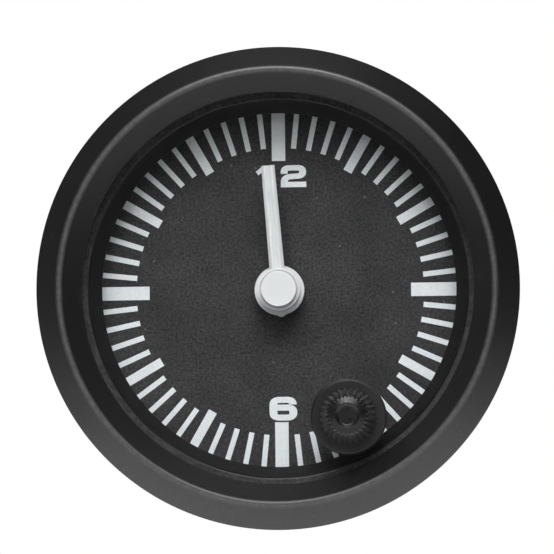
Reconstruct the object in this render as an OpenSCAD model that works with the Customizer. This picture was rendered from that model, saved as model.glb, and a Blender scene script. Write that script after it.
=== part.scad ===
// Two-inch round dashboard clock: quartz movement, two hands and a push-and-turn setting knob.
// Pieces are drawn lying on their back around the dial's axis.
// They are then turned so that the dial faces -Y with twelve up.
// The origin lies on that axis, in the plane where the bezel meets the panel.

/* [Panel fit] */
// Barrel diameter, a sliding fit in the panel hole
barrel_diameter = 52; // [47:0.5:58]
// Barrel depth behind the panel
barrel_depth = 34; // [31:0.5:44]
// Barrel wall thickness
barrel_wall = 2; // [1.8:0.1:2.2]

/* [Bezel] */
// How far the bezel stands past the barrel all round
bezel_overhang = 4.2; // [3.5:0.1:6]
// Height of the bezel's crest in front of the panel
crest_height = 5; // [4.5:0.25:7]
// Height of the bezel's outer rim
rim_height = 1.2; // [0.8:0.1:1.8]
// Width of the bezel's inner slope, seen from the front
slope_width = 2.6; // [2.2:0.05:3]
// Rounding of the crest
crest_rounding = 0.7; // [0.3:0.05:0.8]

/* [Dial] */
// Depth of the dial face behind the panel plane
dial_depth = 7; // [7:0.25:8]
// Length of a minute mark
minute_mark_length = 4.7; // [3:0.1:5]
// Length of a five-minute mark
five_mark_length = 5.5; // [4:0.1:6]
// Length of a quarter mark
quarter_mark_length = 6.35; // [5:0.05:6.6]
// Width of a minute mark
minute_mark_width = 0.66; // [0.4:0.02:0.8]
// Width of a five-minute mark
five_mark_width = 1.14; // [0.8:0.02:1.3]
// Width of a quarter mark
quarter_mark_width = 1.7; // [1.2:0.05:2]

/* [Hands] */
// Length of the minute hand from the axis
minute_hand_length = 15.65; // [12:0.05:16.4]
// Length of the hour hand from the axis
hour_hand_length = 10.5; // [8:0.25:12]
// Width of the minute hand at the hub
minute_hand_width = 1.9; // [1.6:0.05:2.2]
// Width of the minute hand at the tip
minute_tip_width = 1.66; // [1:0.02:1.7]
// Minute hand's angle before twelve
minute_hand_angle = 4.4; // [0:0.2:30]
// Hour hand's angle before twelve
hour_hand_angle = 4; // [0:0.2:30]

/* [Setting knob] */
// Knob's place around the dial, clockwise from twelve
knob_angle = 152; // [140:1:160]
// Knob diameter at its base
knob_diameter = 7.2; // [6.8:0.1:7.8]
// Knob diameter at its face
knob_face_diameter = 4.8; // [4.4:0.1:5.4]
// Knob height
knob_height = 4.4; // [3.2:0.1:6]
// Number of flutes around the knob
flute_count = 28; // [20:2:32]
// Travel of the knob when pushed to set the time
push_travel = 1.2; // [1.1:0.05:1.3]

/* [Rear] */
// Distance between the two clamp studs
stud_spacing = 33; // [31:0.5:34]
// Clamp stud diameter
stud_diameter = 4.8; // [4:0.1:5]
// Clamp stud length behind the rear wall
stud_length = 16; // [12:1:24]
// Length of the blade terminals behind the rear wall
blade_length = 8; // [6:0.5:10]

/* [Hidden] */
$fn = 72;
degrees_per_radian = 180 / PI;
// Gap between pieces that locate each other, of a turning fit, and overrun of cutters
gap = 0.1;
running = 0.05;
seated = 0.02;
over = 0.5;

// Colours
black = [0.06, 0.06, 0.06];
rubber = [0.15, 0.15, 0.15];
dark_grey = [0.2, 0.2, 0.2];
white = [0.92, 0.93, 0.94];
clear = [0.8, 0.9, 0.95, 0.35];
brass = [0.8, 0.65, 0.3];
steel = [0.7, 0.7, 0.72];
iron = [0.45, 0.45, 0.48];
copper = [0.72, 0.4, 0.2];
moulded = [0.85, 0.83, 0.75];
board_green = [0.1, 0.35, 0.18];

// Radii of the case, lens, seal and dial ring
barrel_radius = barrel_diameter / 2;
inner_radius = barrel_radius - barrel_wall;
lens_seat_width = 0.9;
lens_radius = inner_radius + lens_seat_width;
seat_radius = lens_radius + gap;
opening_lip = 0.4;
opening_radius = lens_radius - opening_lip;
fitted_radius = inner_radius - gap;

// Heights of the front pieces
lens_thickness = 1.5;
lens_recess = 0.9;
lens_back = -lens_recess;
lens_front = lens_back + lens_thickness;
seal_height = 0.4;
lip_under = lens_front + seal_height;
lip_height = 0.5;
lip_top = lip_under + lip_height;
gasket_height = 0.6;
gasket_relief = 0.35;
flange_thickness = 0.7;
flange_front = gasket_height + flange_thickness;

// Bezel section
bezel_diameter = barrel_diameter + 2 * bezel_overhang;
bezel_radius = bezel_diameter / 2;
crest_radius = opening_radius + slope_width;
rim_wall = 1.5;
bezel_bore = bezel_radius - rim_wall;
flange_radius = bezel_bore - gap;
core_land = 1.2;
core_margin = 0.5;
core_draft = 0.3;
core_inner = lens_radius + core_land;
core_outer = bezel_bore - core_margin;
core_height = 1.2;
core_under = flange_front + gap;
core_top = core_under + core_height;
crest_tip = [crest_radius, crest_height];
outer_fall = [bezel_radius, rim_height] - crest_tip;
inner_fall = [opening_radius, lip_top] - crest_tip;
outer_way = outer_fall / norm(outer_fall);
inner_way = inner_fall / norm(inner_fall);
crest_half_angle = acos(outer_way * inner_way) / 2;
crest_run = crest_rounding / tan(crest_half_angle);
crest_drop = crest_rounding / sin(crest_half_angle);
crest_middle = (outer_way + inner_way) / norm(outer_way + inner_way);

// Case
rear_outside = -barrel_depth;
rear_wall = 2;
rear_inside = rear_outside + rear_wall;
rear_cut = rear_wall + 2 * over;
rear_chamfer = 0.8;
rib_count = 8;
rib_width = 1.4;
rib_height = 1.5;
rib_root = 0.3;
rib_turn = 180 / rib_count;

// Dial and the ring in front of it
dial_face = -dial_depth;
dial_thickness = 0.8;
dial_back = dial_face - dial_thickness;
dial_hole = 2;
ring_top = lens_back - gap;
ring_flange_height = 0.4;
ring_flange_under = ring_top - ring_flange_height;
ring_seat = ring_flange_under - gap;
ring_chamfer = 0.15;
ring_reveal = 0.35;
ring_lip = 1.72;
ring_skirt = 1;
ring_top_radius = inner_radius - ring_reveal;
ring_crop_radius = inner_radius - ring_lip;
ring_skirt_radius = inner_radius - ring_skirt;
ring_cone_height = 2.2;
ring_edge_height = 0.4;
ring_crop_top = ring_top - ring_cone_height;
ring_crop_under = ring_crop_top - ring_edge_height;
ring_skirt_top = ring_crop_under - (ring_skirt_radius - ring_crop_radius);
mark_count = 60;
mark_height = 0.05;
marks_per_five = 5;
marks_per_quarter = 15;
mark_end = ring_skirt_radius - gap;
foot_radius = 0.35;
foot_length = 1.5;
foot_count = 2;
foot_turn = 35;

// Levels of the movement, from the dial to the rear
gear_thickness = 1;
wheel_thickness = 0.6;
level_gap = 0.4;
hour_clear = 0.6;
hour_top = dial_back - hour_clear;
hour_under = hour_top - gear_thickness;
minute_top = hour_under - level_gap;
minute_under = minute_top - gear_thickness;
plate_thickness = 1.5;
plate_front = minute_under - level_gap;
plate_back = plate_front - plate_thickness;
plate_spacing = 5.8;
rear_plate_front = plate_back - plate_spacing;
rear_plate_back = rear_plate_front - plate_thickness;
board_standoff = 1.6;
board_thickness = 1.6;
board_front = rear_plate_back - board_standoff;
board_back = board_front - board_thickness;
wheel_clear = 0.3;
centre_top = plate_back - wheel_clear;
centre_under = centre_top - wheel_thickness;
third_top = centre_under - gear_thickness;
third_under = third_top - wheel_thickness;
pinion_margin = 0.25;
rim_width = 1.1;
rim_radius = fitted_radius - rim_width;
rear_plate_inset = 3.4;
rear_plate_radius = fitted_radius - rear_plate_inset;
foot_place = fitted_radius - rim_width / 2;

// Hands and their pipes
arbor_radius = 0.5;
cannon_radius = 1;
pipe_radius = 1.6;
hub_gap = 0.5;
hour_hub_height = 1.2;
hour_hub_clear = 1.3;
hour_hub_radius = 3.12;
hour_hub_under = dial_face + hour_hub_clear;
hour_hub_top = hour_hub_under + hour_hub_height;
minute_hub_height = 1.6;
minute_hub_radius = 2.68;
minute_hub_under = hour_hub_top + hub_gap;
minute_hub_top = minute_hub_under + minute_hub_height;
cap_radius = 2.25;
cap_height = 1.1;
cap_rounding = 0.12;
cap_groove_width = 0.17;
cap_groove_depth = 0.3;
cap_top = minute_hub_top + cap_height;
blade_thickness = 0.9;
hour_blade_thickness = 0.8;
hour_hand_width = 1.4;
hour_tip_width = 0.7;
groove_share = 0.36;
bevel_share = 0.2;
tail_nib = 0.22;
tail_nib_radius = 0.6;

// Setting knob, its bush and stem
bush_flange_radius = 4.75;
bush_rounding = 0.3;
bush_flange_height = 0.8;
bush_radius = 2.95;
bush_margin = 0.5;
bush_top = lens_front + bush_flange_height;
bush_nut_height = 1;
bush_nut_radius = 4.2;
bush_end = lens_back - bush_nut_height;
stem_radius = 1.2;
pilot_radius = 0.8;
stem_hole = 1.6;
seal_wire = 0.44;
groove_radius = stem_radius + running + 2 * seal_wire + 2 * seated;
groove_height = 1;
groove_under = lens_back + (lens_thickness - groove_height) / 2;
knob_offset = ring_top_radius - bush_flange_radius - bush_margin;
knob_clear = 0.3;
knob_base = bush_top + push_travel + knob_clear;
knob_top = knob_base + knob_height;
knob_radius = knob_diameter / 2;
knob_face_radius = knob_face_diameter / 2;
knob_bore_share = 0.6;
stem_end = knob_base + knob_bore_share * knob_height;
flute_radius = 0.24;
flute_tilt = atan((knob_radius - knob_face_radius) / knob_height);
dome_sphere = 6.8;
dimple_sphere = 3.82;
dimple_depth = 0.39;
clip_radius = 2.4;
clip_height = 0.5;
clip_top = bush_end - 2 * gap;
clip_slot = 1.6;
set_top = minute_top + level_gap + gear_thickness + pinion_margin;
set_under = minute_top + wheel_clear;
washer_radius = 2;
washer_height = 0.4;
washer_under = set_under - washer_height;
well_radius = 3;
well_bore = 2.2;
well_depth = 5;
well_floor = 1;
well_under = plate_front - well_depth;
pilot_end = well_under - well_floor + seated;
wire_radius = 0.2;
coil_radius = 1.5;
coil_turns = 4.5;
coil_rings_per_turn = 8;
coil_sides = 6;
coil_low = well_under + wire_radius + seated;
coil_high = washer_under - wire_radius - seated;

// Gear train: cannon, minute wheel and hour wheel make twelve to one; the motor train makes sixty to one
pressure_angle = 20;
profile_shift = 0.3;
tooth_top = 0.8;
tooth_root = 1.25;
flank_clear = 0.03;
cannon_teeth = 12;
minute_teeth = 36;
minute_pinion_teeth = 10;
hour_teeth = 40;
set_teeth = 24;
centre_teeth = 64;
third_pinion_teeth = 8;
third_teeth = 60;
rotor_teeth = 8;
train_module = 0.2;
motion_module = 2 * knob_offset / (cannon_teeth + 2 * minute_teeth + set_teeth);
motion_distance = motion_module * (cannon_teeth + minute_teeth) / 2;
hour_module = 2 * motion_distance / (minute_pinion_teeth + hour_teeth);
third_distance = train_module * (centre_teeth + third_pinion_teeth) / 2;
rotor_distance = train_module * (third_teeth + rotor_teeth) / 2;
knob_way = 90 - knob_angle;
set_tip = motion_module * (set_teeth / 2 + tooth_top + profile_shift);
third_way = 130;
rotor_way = 215;
knob_at = knob_offset * [cos(knob_way), sin(knob_way)];
minute_at = motion_distance * [cos(knob_way), sin(knob_way)];
third_at = third_distance * [cos(third_way), sin(third_way)];
rotor_at = third_at + rotor_distance * [cos(rotor_way), sin(rotor_way)];
pivot_radius = 0.35;
collar_radius = 0.8;
post_radius = 0.7;
crossing_count = 5;
crossing_wall = 0.35;
pivot_cover = 0.3;
pivot_front = plate_front - pivot_cover;
pivot_rear = rear_plate_back + pivot_cover;

// Step motor
magnet_radius = 1.5;
magnet_height = 1.2;
stator_thickness = 0.8;
stator_hole = 1.9;
stator_length = 16;
stator_width = 4.6;
leg_width = 3;
coil_drop = 8.5;
core_width = 3;
leg_place = (stator_length - leg_width) / 2;
leg_reach = coil_drop + core_width / 2;
bobbin_length = stator_length - 2 * leg_width - gap;
bobbin_radius = 2.7;
bobbin_flange = 0.6;
bobbin_tube = 2;
winding_radius = 2.5;
window_margin = 0.25;
window_length = bobbin_length + 2 * window_margin;
window_width = 2 * (bobbin_radius + window_margin);
notch_radius = 0.3;
stator_top = rear_plate_front + stator_thickness;
magnet_under = rear_plate_front + 2 * gap;
magnet_top = magnet_under + magnet_height;
core_middle = stator_top + stator_thickness / 2;

// Plate screws, board and its parts
pillar_count = 3;
pillar_edge = 2.3;
pillar_place = rear_plate_radius - pillar_edge;
pillar_turn = 30;
pillar_radius = 2;
screw_radius = 0.9;
screw_head_radius = 1.7;
screw_head_height = 1.2;
screw_reach = 2.5;
board_inset = 0.2;
board_radius = rear_plate_radius - board_inset;
crystal_radius = 1.5;
crystal_length = 8;
crystal_at = [-8, 3];
chip_size = [6, 5, 1.8];
chip_at = [1, -4];
capacitor_radius = 2.5;
capacitor_height = 4.5;
capacitor_at = [10.5, 5];

// Rear fittings
stud_radius = stud_diameter / 2;
stud_end = rear_outside - stud_length;
stud_step = 0.3;
stud_shank_radius = stud_radius + stud_step;
stud_chamfer = 0.4;
stud_head_radius = 3.6;
stud_head_height = 2;
nut_radius = 4.6;
nut_height = 3.2;
blade_width = 6.3;
blade_gauge = 0.8;
blade_place = [6, -13];
blade_hole = 0.8;
blade_hole_in = 3.2;
blade_chamfer = 1.6;
blade_end = rear_outside - blade_length;
lamp_edge = 5.2;
lamp_at = [0, rear_plate_radius - lamp_edge];
lamp_body_radius = 4.9;
lamp_flange_radius = 6.4;
lamp_flange_height = 2.5;
lamp_body_height = 4;
lamp_body_top = rear_inside + lamp_body_height;
lamp_grip = [12, 2.4, 4];
lamp_lug = [11.6, 2.6, 1.4];
lug_clear = 0.4;
bulb_radius = 2.5;
bulb_seat = rear_outside + 1.5;
bulb_length = 11;
bulb_clear = 0.6;
board_top_cut = lamp_at[1] - bulb_radius - bulb_clear;
light_window = 3.5;
contact_size = [2.8, 0.6, 6];
contact_place = 3.4;

function involute(angle) = tan(angle) * degrees_per_radian - angle;

// Half the angle that a tooth fills at a radius, less the clearance of its flank
function tooth_angle(radius, teeth, size, shift) =
    let (pitch = teeth * size / 2)
    let (base = pitch * cos(pressure_angle))
    let (at = radius > base ? acos(base / radius) : 0)
    (90 + 2 * shift * tan(pressure_angle) * degrees_per_radian) / teeth
    + involute(pressure_angle) - involute(at) - flank_clear / pitch * degrees_per_radian;

function root_radius(teeth, size, shift) = size * (teeth / 2 - tooth_root + shift);

function tip_radius(teeth, size, shift) = size * (teeth / 2 + tooth_top + shift);

function on_circle(radius, angle) = radius * [cos(angle), sin(angle)];

function gear_outline(teeth, size, shift) =
    let (root = root_radius(teeth, size, shift))
    let (pitch = size * teeth / 2)
    let (tip = tip_radius(teeth, size, shift))
    let (rise = [root, pitch, tip])
    let (fall = [tip, pitch, root])
    [for (tooth = [0 : teeth - 1]) each concat(
        [for (r = rise) on_circle(r, tooth * 360 / teeth - tooth_angle(r, teeth, size, shift))],
        [for (r = fall) on_circle(r, tooth * 360 / teeth + tooth_angle(r, teeth, size, shift))]
    )];

module upright() {
    rotate([90, 0, 0]) children();
}

module disc(radius, low, high) {
    translate([0, 0, low]) cylinder(r = radius, h = high - low);
}

module tube(outer, inner, low, high) {
    difference() {
        disc(outer, low, high);
        disc(inner, low - over, high + over);
    }
}

module spun(points) {
    rotate_extrude() polygon(points);
}

module box(size, low) {
    translate([-size[0] / 2, -size[1] / 2, low]) cube(size);
}

module around(count, turn) {
    for (i = [0 : count - 1]) rotate([0, 0, turn + i * 360 / count]) children();
}

module at_knob() {
    translate([knob_at[0], knob_at[1], 0]) children();
}

module at_minute() {
    translate([minute_at[0], minute_at[1], 0]) children();
}

module at_pillars() {
    around(pillar_count, pillar_turn) translate([pillar_place, 0, 0]) children();
}

module at_feet() {
    around(foot_count, foot_turn) translate([foot_place, 0, 0]) children();
}

module at_studs() {
    for (side = [-1, 1]) translate([side * stud_spacing / 2, 0, 0]) children();
}

module at_blades() {
    for (side = [-1, 1]) translate([side * blade_place[0], blade_place[1], 0]) children();
}

module at_lamp() {
    translate([lamp_at[0], lamp_at[1], 0]) children();
}

module gear(teeth, size, shift, turn, low, high) {
    translate([0, 0, low]) linear_extrude(high - low) rotate(turn)
        polygon(gear_outline(teeth, size, shift));
}

// Round holes between a wheel's teeth and its hub, with a wall left all round
module crossings(outer, inner, low, high) {
    place = (outer + inner) / 2;
    room = min((outer - inner) / 2, place * sin(180 / crossing_count));
    around(crossing_count, 0) translate([place, 0, 0]) disc(room - crossing_wall, low, high);
}

// Front of the clock

module bezel() color(black) upright() rotate_extrude() {
    polygon([
        [bezel_radius, 0],
        [bezel_radius, rim_height],
        crest_tip + crest_run * outer_way,
        crest_tip + crest_run * inner_way,
        [opening_radius, lip_top],
        [opening_radius, lip_under],
        [lens_radius, lip_under],
        [lens_radius, core_under],
        [core_inner, core_under],
        [core_inner + core_draft, core_top],
        [core_outer - core_draft, core_top],
        [core_outer, core_under],
        [bezel_bore, core_under],
        [bezel_bore, 0]
    ]);
    translate(crest_tip + crest_drop * crest_middle) circle(crest_rounding);
}

module lens() color(clear) upright() difference() {
    disc(lens_radius, lens_back, lens_front);
    at_knob() disc(bush_radius + running, lens_back - over, lens_front + over);
}

module lens_seal() color(rubber) upright()
    tube(lens_radius, opening_radius + running, lens_front, lip_under);

module panel_gasket() color(rubber) upright()
    tube(flange_radius, barrel_radius - gasket_relief + gap, 0, gasket_height);

module case() color(black) upright() {
    difference() {
        spun([
            [0, rear_outside],
            [barrel_radius - rear_chamfer, rear_outside],
            [barrel_radius, rear_outside + rear_chamfer],
            [barrel_radius, 0],
            [barrel_radius - gasket_relief, 0],
            [barrel_radius - gasket_relief, gasket_height],
            [flange_radius, gasket_height],
            [flange_radius, flange_front],
            [0, flange_front]
        ]);
        disc(inner_radius, rear_inside, flange_front + over);
        disc(seat_radius, ring_seat, flange_front + over);
        at_studs() disc(stud_shank_radius + running, rear_outside - over, rear_inside + over);
        at_blades() box([blade_width + 2 * gap, blade_gauge + 2 * gap, rear_cut], rear_outside - over);
        at_lamp() disc(lamp_body_radius + gap, rear_outside - over, rear_inside + over);
        at_lamp() box([lamp_lug[1] + lug_clear, lamp_lug[0] + lug_clear, rear_cut], rear_outside - over);
    }
    around(rib_count, rib_turn)
        translate([inner_radius - rib_height, -rib_width / 2, rear_inside - rib_root])
        cube([rib_height + rib_root, rib_width, plate_back - rear_inside + rib_root]);
}

module dial_ring() color(black) upright() spun([
    [fitted_radius, dial_face],
    [fitted_radius, ring_flange_under],
    [lens_radius, ring_flange_under],
    [lens_radius, ring_top],
    [ring_top_radius + ring_chamfer, ring_top],
    [ring_top_radius, ring_top - ring_chamfer],
    [ring_crop_radius, ring_crop_top],
    [ring_crop_radius, ring_crop_under],
    [ring_skirt_radius, ring_skirt_top],
    [ring_skirt_radius, dial_face]
]);

module dial() color(dark_grey) upright() {
    difference() {
        disc(fitted_radius, dial_back, dial_face);
        disc(dial_hole, dial_back - over, dial_face + over);
        at_knob() disc(stem_hole, dial_back - over, dial_face + over);
    }
    at_feet() disc(foot_radius, dial_back - foot_length, dial_back);
}

module mark(length, width) {
    translate([mark_end - length, -width / 2, dial_face]) cube([length, width, mark_height]);
}

module dial_marks() color(white) upright() difference() {
    for (i = [0 : mark_count - 1]) rotate([0, 0, 90 - i * 360 / mark_count]) {
        if (i % marks_per_quarter == 0) mark(quarter_mark_length, quarter_mark_width);
        else if (i % marks_per_five == 0) mark(five_mark_length, five_mark_width);
        else mark(minute_mark_length, minute_mark_width);
    }
    at_knob() disc(stem_hole, dial_face - over, dial_face + over);
}

// Hands

// A tapered blade with bevelled edges and a groove between two flat ribs
module blade(length, root_width, tip_width, low, high) {
    groove = groove_share * root_width;
    bevel = bevel_share * root_width;
    intersection() {
        translate([0, 0, low]) linear_extrude(high - low) polygon([
            [-root_width / 2, 0],
            [root_width / 2, 0],
            [tip_width / 2, length],
            [-tip_width / 2, length]
        ]);
        translate([0, length + over, 0]) rotate([90, 0, 0]) linear_extrude(length + 2 * over) polygon([
            [-root_width / 2, low],
            [root_width / 2, low],
            [root_width / 2, high - bevel],
            [root_width / 2 - bevel, high],
            [groove / 2, high],
            [0, high - groove / 2],
            [-groove / 2, high],
            [bevel - root_width / 2, high],
            [-root_width / 2, high - bevel]
        ]);
    }
}

module minute_hand() color(white) upright() rotate([0, 0, minute_hand_angle]) difference() {
    union() {
        disc(minute_hub_radius, minute_hub_under, minute_hub_top);
        blade(minute_hand_length, minute_hand_width, minute_tip_width,
              minute_hub_top - blade_thickness, minute_hub_top);
    }
    disc(cannon_radius + seated, minute_hub_under - over, minute_hub_top + over);
    tube(cap_radius + cap_groove_width, cap_radius, minute_hub_top - cap_groove_depth, minute_hub_top + over);
}

module hour_hand() color(white) upright() rotate([0, 0, hour_hand_angle]) difference() {
    union() {
        disc(hour_hub_radius, hour_hub_under, hour_hub_top);
        blade(hour_hand_length, hour_hand_width, hour_tip_width,
              hour_hub_top - hour_blade_thickness, hour_hub_top);
        translate([0, tail_nib_radius - tail_nib - hour_hub_radius, 0])
            disc(tail_nib_radius, hour_hub_under, hour_hub_top);
    }
    disc(pipe_radius + seated, hour_hub_under - over, hour_hub_top + over);
}

module hub_cap() color(white) upright() rotate_extrude() {
    translate([0, minute_hub_top]) square([cap_radius, cap_height - cap_rounding]);
    translate([0, minute_hub_top]) square([cap_radius - cap_rounding, cap_height]);
    translate([cap_radius - cap_rounding, cap_top - cap_rounding]) circle(cap_rounding);
}

// Setting knob and its stem

module setting_knob() color(black) upright() at_knob() difference() {
    intersection() {
        translate([0, 0, knob_base]) cylinder(r1 = knob_radius, r2 = knob_face_radius, h = knob_height);
        translate([0, 0, knob_top - dome_sphere]) sphere(dome_sphere);
    }
    around(flute_count, 0) translate([knob_radius, 0, knob_base]) rotate([0, -flute_tilt, 0])
        disc(flute_radius, -over, knob_height + 2 * over);
    translate([0, 0, knob_top + dimple_sphere - dimple_depth]) sphere(dimple_sphere);
    disc(stem_radius + seated, knob_base - over, stem_end + seated);
}

module setting_stem() color(steel) upright() at_knob() {
    disc(stem_radius, set_under, stem_end);
    disc(pilot_radius, pilot_end, set_under);
}

module setting_pinion() color(brass) upright() at_knob() difference() {
    gear(set_teeth, motion_module, profile_shift, knob_way + 180, set_under, set_top);
    disc(stem_radius + seated, set_under - over, set_top + over);
}

module stem_bush() color(black) upright() at_knob() rotate_extrude() difference() {
    union() {
        translate([0, bush_end]) square([bush_radius, lens_front - bush_end]);
        translate([0, lens_front]) square([bush_flange_radius, bush_flange_height - bush_rounding]);
        translate([0, lens_front]) square([bush_flange_radius - bush_rounding, bush_flange_height]);
        translate([bush_flange_radius - bush_rounding, bush_top - bush_rounding]) circle(bush_rounding);
    }
    translate([0, bush_end - over]) square([stem_radius + running, bush_top - bush_end + 2 * over]);
    translate([0, groove_under]) square([groove_radius, groove_height]);
}

module bush_nut() color(black) upright() at_knob() difference() {
    translate([0, 0, bush_end]) cylinder(r = bush_nut_radius, h = bush_nut_height, $fn = 6);
    disc(bush_radius + seated, bush_end - over, lens_back + over);
}

module stem_seal() color(rubber) upright() at_knob() translate([0, 0, groove_under + groove_height / 2])
    rotate_extrude() translate([stem_radius + running + seated + seal_wire, 0]) circle(seal_wire);

module stem_clip() color(steel) upright() at_knob() difference() {
    tube(clip_radius, stem_radius + seated, clip_top - clip_height, clip_top);
    translate([0, -clip_slot / 2, clip_top - clip_height - over])
        cube([clip_radius + over, clip_slot, clip_height + 2 * over]);
}

module thrust_washer() color(steel) upright() at_knob()
    tube(washer_radius, pilot_radius + running, washer_under, set_under);

// One unbroken wire: a straight square end of one diameter, the turns, and a straight end
coil_steps = coil_turns * coil_rings_per_turn;
coil_climb = (coil_high - coil_low) / coil_steps;
function coil_angle(step) = step * 360 / coil_rings_per_turn;
function coil_middle(step) = [
    coil_radius * cos(coil_angle(step)),
    coil_radius * sin(coil_angle(step)),
    coil_low + coil_climb * step
];
function coil_run(step) = [-sin(coil_angle(step)), cos(coil_angle(step)), 0];
function coil_ring(step, ahead) = [for (side = [0 : coil_sides - 1])
    let (turn = side * 360 / coil_sides)
    coil_middle(step) + 2 * wire_radius * ahead * coil_run(step)
    + wire_radius * cos(turn) * [cos(coil_angle(step)), sin(coil_angle(step)), 0]
    + wire_radius * sin(turn) * [0, 0, 1]
];
coil_rings = concat(
    [coil_ring(0, -1)],
    [for (step = [0 : coil_steps]) coil_ring(step, 0)],
    [coil_ring(coil_steps, 1)]
);
coil_last = len(coil_rings) - 1;
function coil_point(ring, side) = ring * coil_sides + side % coil_sides;
coil_faces = concat(
    [for (side = [1 : coil_sides - 2]) [0, side, side + 1]],
    [for (ring = [0 : coil_last - 1], side = [0 : coil_sides - 1])
        [coil_point(ring, side), coil_point(ring + 1, side), coil_point(ring + 1, side + 1)]],
    [for (ring = [0 : coil_last - 1], side = [0 : coil_sides - 1])
        [coil_point(ring, side), coil_point(ring + 1, side + 1), coil_point(ring, side + 1)]],
    [for (side = [1 : coil_sides - 2])
        [coil_point(coil_last, 0), coil_point(coil_last, side + 1), coil_point(coil_last, side)]]
);
coil_least_gap = min([for (i = [0 : coil_steps - coil_rings_per_turn / 2])
    min([for (k = [i + coil_rings_per_turn / 2 : coil_steps]) norm(coil_middle(i) - coil_middle(k))])
]) - 2 * wire_radius;
echo(return_spring_least_gap = coil_least_gap);

module return_spring() color(steel) upright() at_knob()
    polyhedron(points = [for (ring = coil_rings) each ring], faces = coil_faces);

// Movement

module front_plate() color(moulded) upright() difference() {
    union() {
        disc(fitted_radius, plate_back, plate_front);
        tube(fitted_radius, rim_radius, plate_back, dial_back);
        at_pillars() disc(pillar_radius, rear_plate_front, plate_back);
        at_knob() disc(well_radius, well_under - well_floor, plate_back);
        at_minute() disc(collar_radius + level_gap, plate_back, minute_under - gap);
    }
    disc(arbor_radius + running, plate_back - over, plate_front + over);
    at_minute() disc(post_radius + seated, plate_back - over, minute_under);
    for (pivot = [third_at, rotor_at]) translate([pivot[0], pivot[1], 0])
        disc(pivot_radius + running, plate_back - over, plate_front + over);
    at_knob() disc(well_bore, well_under, plate_front + over);
    at_knob() disc(set_tip + level_gap, plate_front, dial_back + over);
    at_knob() disc(pilot_radius + running, well_under - well_floor - over, well_under + over);
    at_pillars()
        disc(screw_radius + running, rear_plate_front - over, rear_plate_front + screw_reach + gap);
    at_feet() disc(foot_radius + running, dial_back - foot_length - gap, dial_back + over);
    at_lamp() disc(light_window, plate_back - over, plate_front + over);
}

module rear_plate() color(moulded) upright() difference() {
    union() {
        disc(rear_plate_radius, rear_plate_back, rear_plate_front);
        at_pillars() disc(pillar_radius, board_front, rear_plate_back);
    }
    disc(arbor_radius + running, rear_plate_back - over, rear_plate_front + over);
    for (pivot = [third_at, rotor_at]) translate([pivot[0], pivot[1], 0])
        disc(pivot_radius + running, rear_plate_back - over, rear_plate_front + over);
    translate([rotor_at[0], rotor_at[1] - coil_drop, 0])
        box([window_length, window_width, plate_thickness + 2 * over], rear_plate_back - over);
    at_pillars() disc(screw_radius + running, board_front - over, rear_plate_front + over);
    at_lamp() disc(light_window, rear_plate_back - over, rear_plate_front + over);
}

module plate_screws() color(steel) upright() at_pillars() {
    disc(screw_head_radius, board_back - screw_head_height, board_back);
    disc(screw_radius, board_back, rear_plate_front + screw_reach);
}

module centre_arbor() color(steel) upright() disc(arbor_radius, pivot_rear, minute_hub_top - gap);

module centre_wheel() color(brass) upright() difference() {
    union() {
        gear(centre_teeth, train_module, -profile_shift, third_way, centre_under, centre_top);
        disc(collar_radius + level_gap, centre_under - wheel_thickness, centre_top + gap);
    }
    disc(arbor_radius + seated, centre_under - wheel_thickness - over, centre_top + over);
    crossings(root_radius(centre_teeth, train_module, -profile_shift), collar_radius + level_gap,
              centre_under - over, centre_top + over);
}

module cannon_pinion() color(brass) upright() difference() {
    union() {
        gear(cannon_teeth, motion_module, profile_shift, knob_way, minute_under, minute_top);
        disc(collar_radius + level_gap, plate_front + gap, minute_under);
        disc(cannon_radius, minute_top, minute_hub_top - gap);
    }
    disc(arbor_radius + seated, plate_front - over, minute_hub_top + over);
}

module minute_wheel() color(moulded) upright() at_minute() difference() {
    union() {
        gear(minute_teeth, motion_module, -profile_shift, knob_way + 180 + 180 / minute_teeth,
             minute_under, minute_top);
        gear(minute_pinion_teeth, hour_module, profile_shift, knob_way + 180, minute_top, hour_top + gap);
    }
    disc(post_radius + running, minute_under - over, hour_top + over);
    crossings(root_radius(minute_teeth, motion_module, -profile_shift),
              tip_radius(minute_pinion_teeth, hour_module, profile_shift),
              minute_under - over, minute_top + over);
}

module minute_post() color(steel) upright() at_minute()
    disc(post_radius, plate_back, dial_back - 2 * gap);

module hour_wheel() color(moulded) upright() difference() {
    union() {
        gear(hour_teeth, hour_module, -profile_shift, knob_way + 180 / hour_teeth, hour_under, hour_top);
        disc(pipe_radius, hour_under - 2 * gap, hour_hub_top);
    }
    disc(cannon_radius + running, hour_under - over, hour_hub_top + over);
}

module third_wheel() color(brass) upright() translate([third_at[0], third_at[1], 0]) {
    gear(third_pinion_teeth, train_module, profile_shift, third_way + 180 + 180 / third_pinion_teeth,
         centre_under - pinion_margin, centre_top + gap);
    disc(collar_radius, third_top, centre_under - pinion_margin);
    gear(third_teeth, train_module, -profile_shift, rotor_way, third_under, third_top);
    disc(pivot_radius, centre_top + gap, pivot_front);
    disc(pivot_radius, pivot_rear, third_under);
}

module rotor_pinion() color(moulded) upright() translate([rotor_at[0], rotor_at[1], 0]) {
    gear(rotor_teeth, train_module, profile_shift, rotor_way + 180 + 180 / rotor_teeth,
         third_under - pinion_margin, third_top + pinion_margin);
    disc(pivot_radius, third_top + pinion_margin, pivot_front);
    disc(collar_radius, magnet_top, third_under - pinion_margin);
    disc(pivot_radius, pivot_rear, magnet_top);
}

module rotor_magnet() color(iron) upright() translate([rotor_at[0], rotor_at[1], 0])
    tube(magnet_radius, pivot_radius + seated, magnet_under, magnet_top);

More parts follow.
